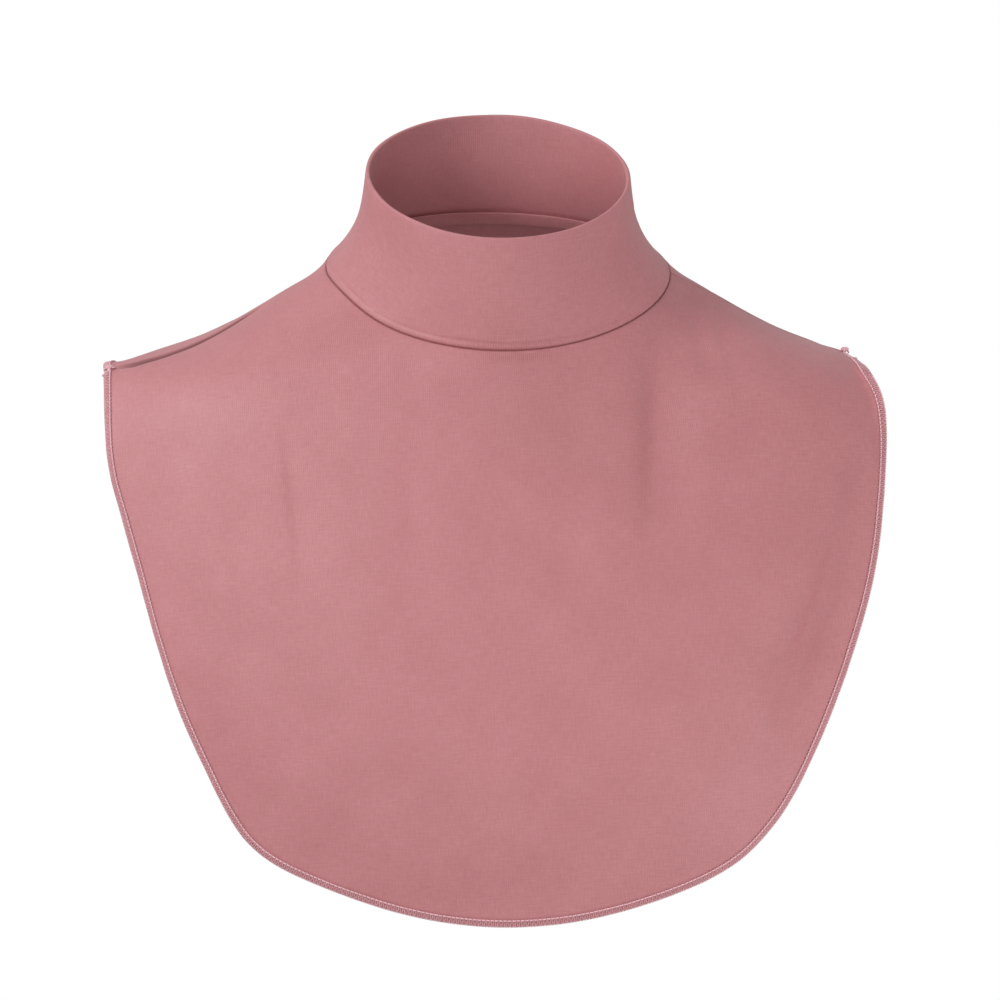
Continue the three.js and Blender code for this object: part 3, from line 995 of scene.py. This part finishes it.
def sculpt_bib(piece, folds):
    """Folds, the slight unevenness of jersey, and the pucker beside its seams."""
    places, normals = read_points(piece)
    soft = sum(height * ripple(places, size, seed) for height, size, seed in UNEVEN)
    away, along, _, _ = neck_seam.near(places)
    beside = np.stack([along, along * 0, along * 0], axis=1)
    pucker = PUCKER["height"] * np.exp(-away / PUCKER["reach"])
    pucker *= ripple(beside, PUCKER["size"], PUCKER["seed"])
    clear = clear_of_seams(places)
    move = (soft - fold_depth(places, folds)) * (1 - bell(clear, 0, HELD_BY_SEAM))
    move += pucker * (clear > PUCKER["from"])
    write_points(piece, places + normals * move[:, None])


sculpt_bib(front_bib, FOLDS)
sculpt_bib(back_bib, [])

# %% [markdown]
# ## The hang of the hem
#
# A real hem isn't as even as the solid's. It swells a little at its lower corners and on
# the wearer's left, and draws in beside the left shoulder. The table moves the cloth round
# a point by a few millimetres. The shift fades with the distance and stops at the seams.

# %% Shifting the cloth
SHIFTS = {
    "front": [
        # across, down   reach    sideways, up: all three in millimetres
        ((0.545, 0.925), 36.0, 1.5, -2.1),
        ((-0.615, 0.877), 21.0, -1.6, -1.4),
        ((0.942, 0.456), 34.0, 2.4, -0.4),
        ((0.15, 1.0), 50.0, 0.0, -0.7),
        ((-0.969, 0.319), 16.0, -1.6, 0.0),
        ((0.925, 0.150), 12.0, -1.4, -1.0),
    ],
    "back": [((0.925, 0.150), 14.0, -2.4, -2.4)],
}


def shift(piece, table):
    places, _ = read_points(piece)
    seen = places[:, [0, 2]]
    moved = np.zeros_like(places)
    for (across, down), reach, sideways, up in table:
        away = np.linalg.norm(seen - seen_at(across, down), axis=1)
        share = bell(away, 0, reach * MM)
        moved += share[:, None] * np.array([sideways, 0, up]) * MM
    held = bell(clear_of_seams(places), 0, 2 * MM)
    write_points(piece, places + moved * (1 - held)[:, None])


shift(front_bib, SHIFTS["front"])
shift(back_bib, SHIFTS["back"])

# %% [markdown]
# ## Marking painted shade at the seams
#
# Where cloth is pulled into a seam or under a stitch, it is painted darker and redder. This
# is painted shade in the crevice and under the thread, and at the seams partly the real
# darkening of loops pressed together. Above and below the middle of the neck seam the ribs
# are gathered and stand out, and the valleys between them get more painted shade. Each
# point keeps this as attributes, numbers from 0 to 1 that the jersey's finish reads. The
# seams are marked before they are sunk, while their lines still fit.

# %% Painted seam shade and gathered cloth
# Painted seam shade: its width at the neck and at the shoulders, in front and behind.
SEAM_SHADE_WIDTH = {"neck": 0.45 * MM, "front": (1.0 * MM, 0.3 * MM), "behind": (1.8 * MM, 0.4 * MM)}
SEAM_SHADE_AT_NECK = 0.65
SEAM_SHADE_SHARE = (0.3, 0.99)
GATHERED = {
    # distance from the seam, spread    spread to either side of the middle
    "above": (2.5 * MM, 1.1 * MM, 26 * MM),
    "below": (3.5 * MM, 2.2 * MM, 14 * MM),
}
GATHERED_MIDDLE = 8 * MM


def keep(piece, name, values):
    kept = piece.data.attributes.new(name, "FLOAT", "POINT")
    kept.data.foreach_set("value", values.astype(np.float32))
    print(piece.name, name, "points above a half:", int((values > 0.5).sum()))


def mark(piece):
    """Keeps how much painted seam shade each point of a cloth gets, and how much it is gathered.
    """
    places, _ = read_points(piece)
    # Painted shade along the neck seam and the shoulder seams, darkest on the seam line.
    away = neck_seam.near(places)[0]
    pressed_and_shaded = SEAM_SHADE_AT_NECK * bell(away, 0, SEAM_SHADE_WIDTH["neck"])
    side = "behind" if piece == back_bib else "front"
    for seam, width in zip(shoulder_seams, SEAM_SHADE_WIDTH[side]):
        distance, along, _, _ = seam.near(places)
        deep = np.clip(4 * bell(distance, 0, width), 0, 1)
        pressed_and_shaded = np.maximum(pressed_and_shaded, deep * fade(along / seam.length, *SEAM_SHADE_SHARE))
    keep(piece, "seam_shade_and_press", pressed_and_shaded)
    beside, spread, sideways = GATHERED["above" if piece == collar_band else "below"]
    middle = bell(places[:, 0], GATHERED_MIDDLE, sideways) * (places[:, 1] < 0)
    keep(piece, "gathered_and_shaded", bell(away, beside, spread) * middle)


for piece in sheets:
    mark(piece)

# %% [markdown]
# ## The shoulder seams
#
# On the wearer's right the seam has slipped forward, and the cloth has sunk into a groove
# along it, with the back bib rolled up behind. On the left it only makes a soft crease.
# Both cloths are pushed by the same amount at the seam, so it stays closed.

# %% Sinking the shoulder seams
GROOVES = [
    # along the seam from, to    depth  width of the groove    height, distance, width of the roll
    (0.25, 0.985, 2.0, 2.0, 0.1, 4.4, 1.8),
    (0.05, 0.95, 0.5, 1.6, 0.2, 3.6, 2.2),
]


def sink_seams(piece, behind):
    """The groove along each shoulder seam, and the roll beside it on the bib behind."""
    places, _ = read_points(piece)
    for seam, groove in zip(shoulder_seams, GROOVES):
        start, end, depth, width, roll, beside, spread = groove
        away, along, _, ways = seam.near(places)
        push = depth * bell(away, 0, width * MM)
        if behind:
            push -= roll * bell(away, beside * MM, spread * MM)
        places += ways * (push * MM * fade(along / seam.length, start, end))[:, None]
    write_points(piece, places)


sink_seams(front_bib, False)
sink_seams(back_bib, True)

# %% [markdown]
# ## The collar's foot
#
# Inside the foot of the collar lie the trimmed edges of the cloths. They push it out in a
# low ridge just above the seam, and above the ridge the cloth is drawn in along a second,
# softer line. Both are strongest at the front. On the wearer's left the band gives way in
# one soft crease from its top down to the seam, and both its layers are pushed in there.

# %% Sculpting the collar
RIDGE = (1.5 * MM, 0.9 * MM, 0.35 * MM)
DRAWN = (3.0 * MM, 0.6 * MM, 0.35 * MM)
CREASES = [((0.340, -0.110), (0.300, 0.010), 3.0, 7.0, 1.0)]
WAVY = {"height": 0.35 * MM, "size": 24 * MM, "seed": 5.3}
FOOT = 4 * MM


def sculpt_collar(piece):
    places, normals = read_points(piece)
    away, along, _, _ = neck_seam.near(places)
    outward = places * [1, 1, 0]
    outer = np.einsum("ij,ij->i", normals, outward) > 0
    front = bell(places[:, 0], 6 * MM, 34 * MM) * (places[:, 1] < 0)
    move = RIDGE[2] * bell(away, *RIDGE[:2]) - DRAWN[2] * bell(away, *DRAWN[:2])
    move *= outer * (away > 0.5 * MM) * (0.3 + 0.7 * front)
    wavy = WAVY["height"] * ripple(places, WAVY["size"], WAVY["seed"])
    move += wavy * (away > FOOT)
    inward = fold_depth(places, CREASES) * (places[:, 1] < 0) * np.clip(away / FOOT, 0, 1)
    outward /= np.linalg.norm(outward, axis=1)[:, None]
    write_points(piece, places + normals * move[:, None] - outward * inward[:, None])


sculpt_collar(collar_band)

# %% [markdown]
# ## The hems as lines
#
# The thread that wraps a hem has to follow the cloth, folds and all. So the finished border
# is read back from each bib: the border points near the cage's last row, in order along
# it. Points that run on into a shoulder seam are left out. Three ways are known anywhere
# along it: forward along the hem, up off the cloth, and across, into it.

# %% Hems
NEAR_HEM = 4 * MM
CLEAR_OF_TIP = 1.2 * MM
HEM_STEP = 1.5 * MM


class Hem:
    """The lower border of a bib, read from its finished mesh."""

    def __init__(self, piece, rows):
        rough = Line([vert.co for vert in rows[-1]], [vert.normal for vert in rows[-1]])
        bm = bmesh.new()
        bm.from_mesh(piece.data)
        bm.normal_update()
        edge = [vert for vert in bm.verts if vert.is_boundary]
        places = np.array([tuple(vert.co) for vert in edge])
        ways = np.array([tuple(vert.normal) for vert in edge])
        bm.free()
        away, along, _, _ = rough.near(places)
        along = along.round(7)
        within = (along > 0) & (along < rough.length.round(7))
        clear = np.min([seam.near(places)[0] for seam in shoulder_seams], axis=0)
        kept = np.flatnonzero((away < NEAR_HEM) & (clear > CLEAR_OF_TIP) & within)
        order = kept[np.argsort(along[kept], kind="stable")]
        self.line = Line(places[order], ways[order])
        self.side = 1
        middle = self.frame(np.array([self.line.length / 2]))[2][0]
        self.side = 1 if middle[2] > 0 else -1

    def frame(self, lengths):
        """Forward, up and across at these lengths along the hem."""
        ahead = self.line.at(lengths + HEM_STEP, self.line.points)
        behind = self.line.at(lengths - HEM_STEP, self.line.points)
        forward = (ahead - behind) / np.linalg.norm(ahead - behind, axis=1)[:, None]
        up = self.line.at(lengths, self.line.ways)
        up -= forward * np.einsum("ij,ij->i", up, forward)[:, None]
        up /= np.linalg.norm(up, axis=1)[:, None]
        return forward, up, np.cross(up, forward) * self.side

    def lay(self, along, across, up):
        """Points in space from how far they lie along, across and up."""
        _, rise, inward = self.frame(along)
        base = self.line.at(along, self.line.points)
        return base + inward * across[:, None] + rise * up[:, None]


hems = {"front": Hem(front_bib, front_rows), "back": Hem(back_bib, back_rows)}
print("hems:", {name: round(hem.line.length, 3) for name, hem in hems.items()})

# %% Painted shadow under the stitches
WIDTH = 2.6 * MM
STITCH_LINE = 0.55 * MM

for piece, hem in ((front_bib, hems["front"]), (back_bib, hems["back"])):
    places, _ = read_points(piece)
    # Painted shadow: the cloth along the needle row is marked to be painted dark red.
    keep(piece, "stitch_shadow", bell(hem.line.near(places)[0], WIDTH, STITCH_LINE))

# %% [markdown]
# ## Overlocking
#
# An overlock machine trims the edge and sews it over in one pass. A needle thread makes a
# row of short stitches in the cloth. Two looper threads run between that row and the edge,
# over and under the cloth, and lock together along the rim in a tight cord. So a looper is
# a flat helix round the edge, the needle thread dips in and out of the cloth, and the cord
# is a narrow helix with a short pitch.

# %% Threads
LOOPER = 0.36 * MM
NEEDLE = 0.85 * MM
CORD = 0.38 * MM
RIM = {"radius": 0.34 * MM, "pitch": 0.66 * MM}
POINTS_PER_TURN = {"looper": 10, "needle": 8, "cord": 6}


def turns_along(hem, pitch, points):
    """How many turns a thread has made at each of its points along the hem."""
    turns = hem.line.length / pitch
    return np.linspace(0, turns, int(turns * points))


def flat_helix(hem, hand):
    """A looper thread: round the edge once for every stitch."""
    turns = turns_along(hem, STITCH, POINTS_PER_TURN["looper"])
    spin = turns * 2 * math.pi
    across = (1 - np.cos(spin)) * WIDTH / 2 - LOOPER / 2
    up = hand * np.sin(spin) * (CLOTH + LOOPER) / 2 - CLOTH / 2
    return hem.lay(turns * STITCH, across, up)


def needle_row(hem):
    """The needle thread: a stitch on the cloth, then a dip into it."""
    turns = turns_along(hem, STITCH, POINTS_PER_TURN["needle"])
    dip = np.clip(1.6 * np.cos(turns * 2 * math.pi) + 0.5, -1.0, 0.45)
    return hem.lay(turns * STITCH, np.full(len(turns), WIDTH), dip * NEEDLE)


def rim_cord(hem):
    """The cord of locked loops along the rim."""
    turns = turns_along(hem, RIM["pitch"], POINTS_PER_TURN["cord"])
    spin = turns * 2 * math.pi
    across = np.cos(spin) * RIM["radius"] - RIM["radius"] / 2
    up = np.sin(spin) * RIM["radius"] - CLOTH / 2
    return hem.lay(turns * RIM["pitch"], across, up)


# %% Sewing
def sewn(name, strands):
    """A mesh of threads. Each strand is a run of points, a thickness and a finish, 0 or 1."""
    curve = bpy.data.curves.new(name, "CURVE")
    curve.dimensions = "3D"
    curve.bevel_depth = 1
    curve.bevel_resolution = 0
    curve.use_fill_caps = True
    for finish in (looper_thread, needle_thread):
        curve.materials.append(finish)
    for points, thickness, finish in strands:
        spline = curve.splines.new("POLY")
        spline.material_index = finish
        spline.points.add(len(points) - 1)
        places = np.ones((len(points), 4))
        places[:, :3] = points
        spline.points.foreach_set("co", places.astype(np.float32).ravel())
        spline.points.foreach_set("radius", np.full(len(points), thickness / 2, np.float32))
    holder = new_object(name, curve)
    mesh = made_mesh(holder)
    bpy.data.objects.remove(holder)
    mesh.name = name
    mesh.shade_smooth()
    piece = new_object(name, mesh)
    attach(piece, "root")
    print(name, "has", len(mesh.polygons), "faces")
    return piece


def overlock(name, hem):
    loopers = [(flat_helix(hem, hand), LOOPER, 0) for hand in (1, -1)]
    return sewn(name, [*loopers, (needle_row(hem), NEEDLE, 1), (rim_cord(hem), CORD, 0)])


front_overlock = overlock("front_overlock", hems["front"])
back_overlock = overlock("back_overlock", hems["back"])

# %% [markdown]
# ## Knots at the shoulder tips
#
# Where two overlocked edges meet, the ends of their threads are tied and trimmed. Each knot
# is thread wound into a small ball, with two short tails.

# %% Winding the knots
KNOT = {"radius": 1.3 * MM, "turns": 9, "thread": 0.55 * MM, "lift": 0.7 * MM, "tail": 3.2 * MM}
KNOT_POINTS = 14
KNOT_SHAPE = np.array([1.25, 0.9, 0.8])


def knot(seam, lean):
    """Thread wound round a ball at the end of a seam, and two tails."""
    centre = seam.points[-1] - seam.ways[-1] * KNOT["lift"]
    share = np.linspace(0, 1, KNOT["turns"] * KNOT_POINTS)
    spin = share * KNOT["turns"] * 2 * math.pi
    tilt = np.sin(share * 7) * 0.9
    ways = [np.cos(spin), np.sin(spin) * np.cos(tilt), np.sin(spin) * np.sin(tilt)]
    ball = np.stack(ways, axis=1) * KNOT["radius"] * KNOT_SHAPE
    strands = [(centre + ball, KNOT["thread"], 1)]
    for side in (-1, 1):
        run = np.linspace(0, 1, 7)[:, None]
        way = np.array([lean, -0.3 * side, 0.1 * side])
        sag = np.array([0, 0, -0.5]) * run**2
        strands.append((centre + (way * run + sag) * KNOT["tail"], KNOT["thread"], 0))
    return strands


tip_knots = sewn("tip_knots", [*knot(shoulder_seams[0], -0.8), *knot(shoulder_seams[1], 0.6)])

# %% [markdown]
# ## The allowances inside
#
# Behind every seam lie the trimmed edges of the cloths that it joins, here plain strips.
# Each is copied from its solid, its triangles joined to four-sided cells, and rounded off.

# %% Rounding the strips
NECK_RADIUS = 70 * MM


def soft_strip(node, name):
    """A rounded copy of an allowance, with a pattern along and across it."""
    bm = bmesh.new()
    bm.from_mesh(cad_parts[node].data)
    bmesh.ops.remove_doubles(bm, verts=bm.verts, dist=0.02 * MM)
    bmesh.ops.join_triangles(
        bm, faces=bm.faces, angle_face_threshold=math.radians(40), angle_shape_threshold=math.pi
    )
    bmesh.ops.recalc_face_normals(bm, faces=bm.faces)
    layer = bm.loops.layers.uv.new("cloth")
    for face in bm.faces:
        for loop in face.loops:
            x, y, z = loop.vert.co
            round_neck = (math.atan2(x, -y) * NECK_RADIUS, z)
            loop[layer].uv = round_neck if node == "neck_seam" else (x, y)
    piece = to_object(bm, name)
    bm.free()
    piece.data.materials.append(jersey)
    round_off(piece)
    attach(piece, "root")
    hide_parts(node)
    return piece


neck_allowance = soft_strip("neck_seam", "neck_allowance")
shoulder_allowances = [
    soft_strip("shoulder_seam_right", "right_shoulder_allowance"),
    soft_strip("shoulder_seam_left", "left_shoulder_allowance"),
]

# %% [markdown]
# ## Thickness
#
# The sheets get their thickness last, inwards from the face that shows.

# %% Wall thickness
for piece in sheets:
    wall = piece.modifiers.new("cloth_thickness", "SOLIDIFY")
    wall.thickness = CLOTH
    wall.offset = -1
    piece.data.materials.append(jersey)
    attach(piece, "root")

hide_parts("front_panel")
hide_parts("back_panel")
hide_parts("collar")
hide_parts("front_edge")
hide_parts("back_edge")

# %% The solids' box
print("solids' box:", cad_box)
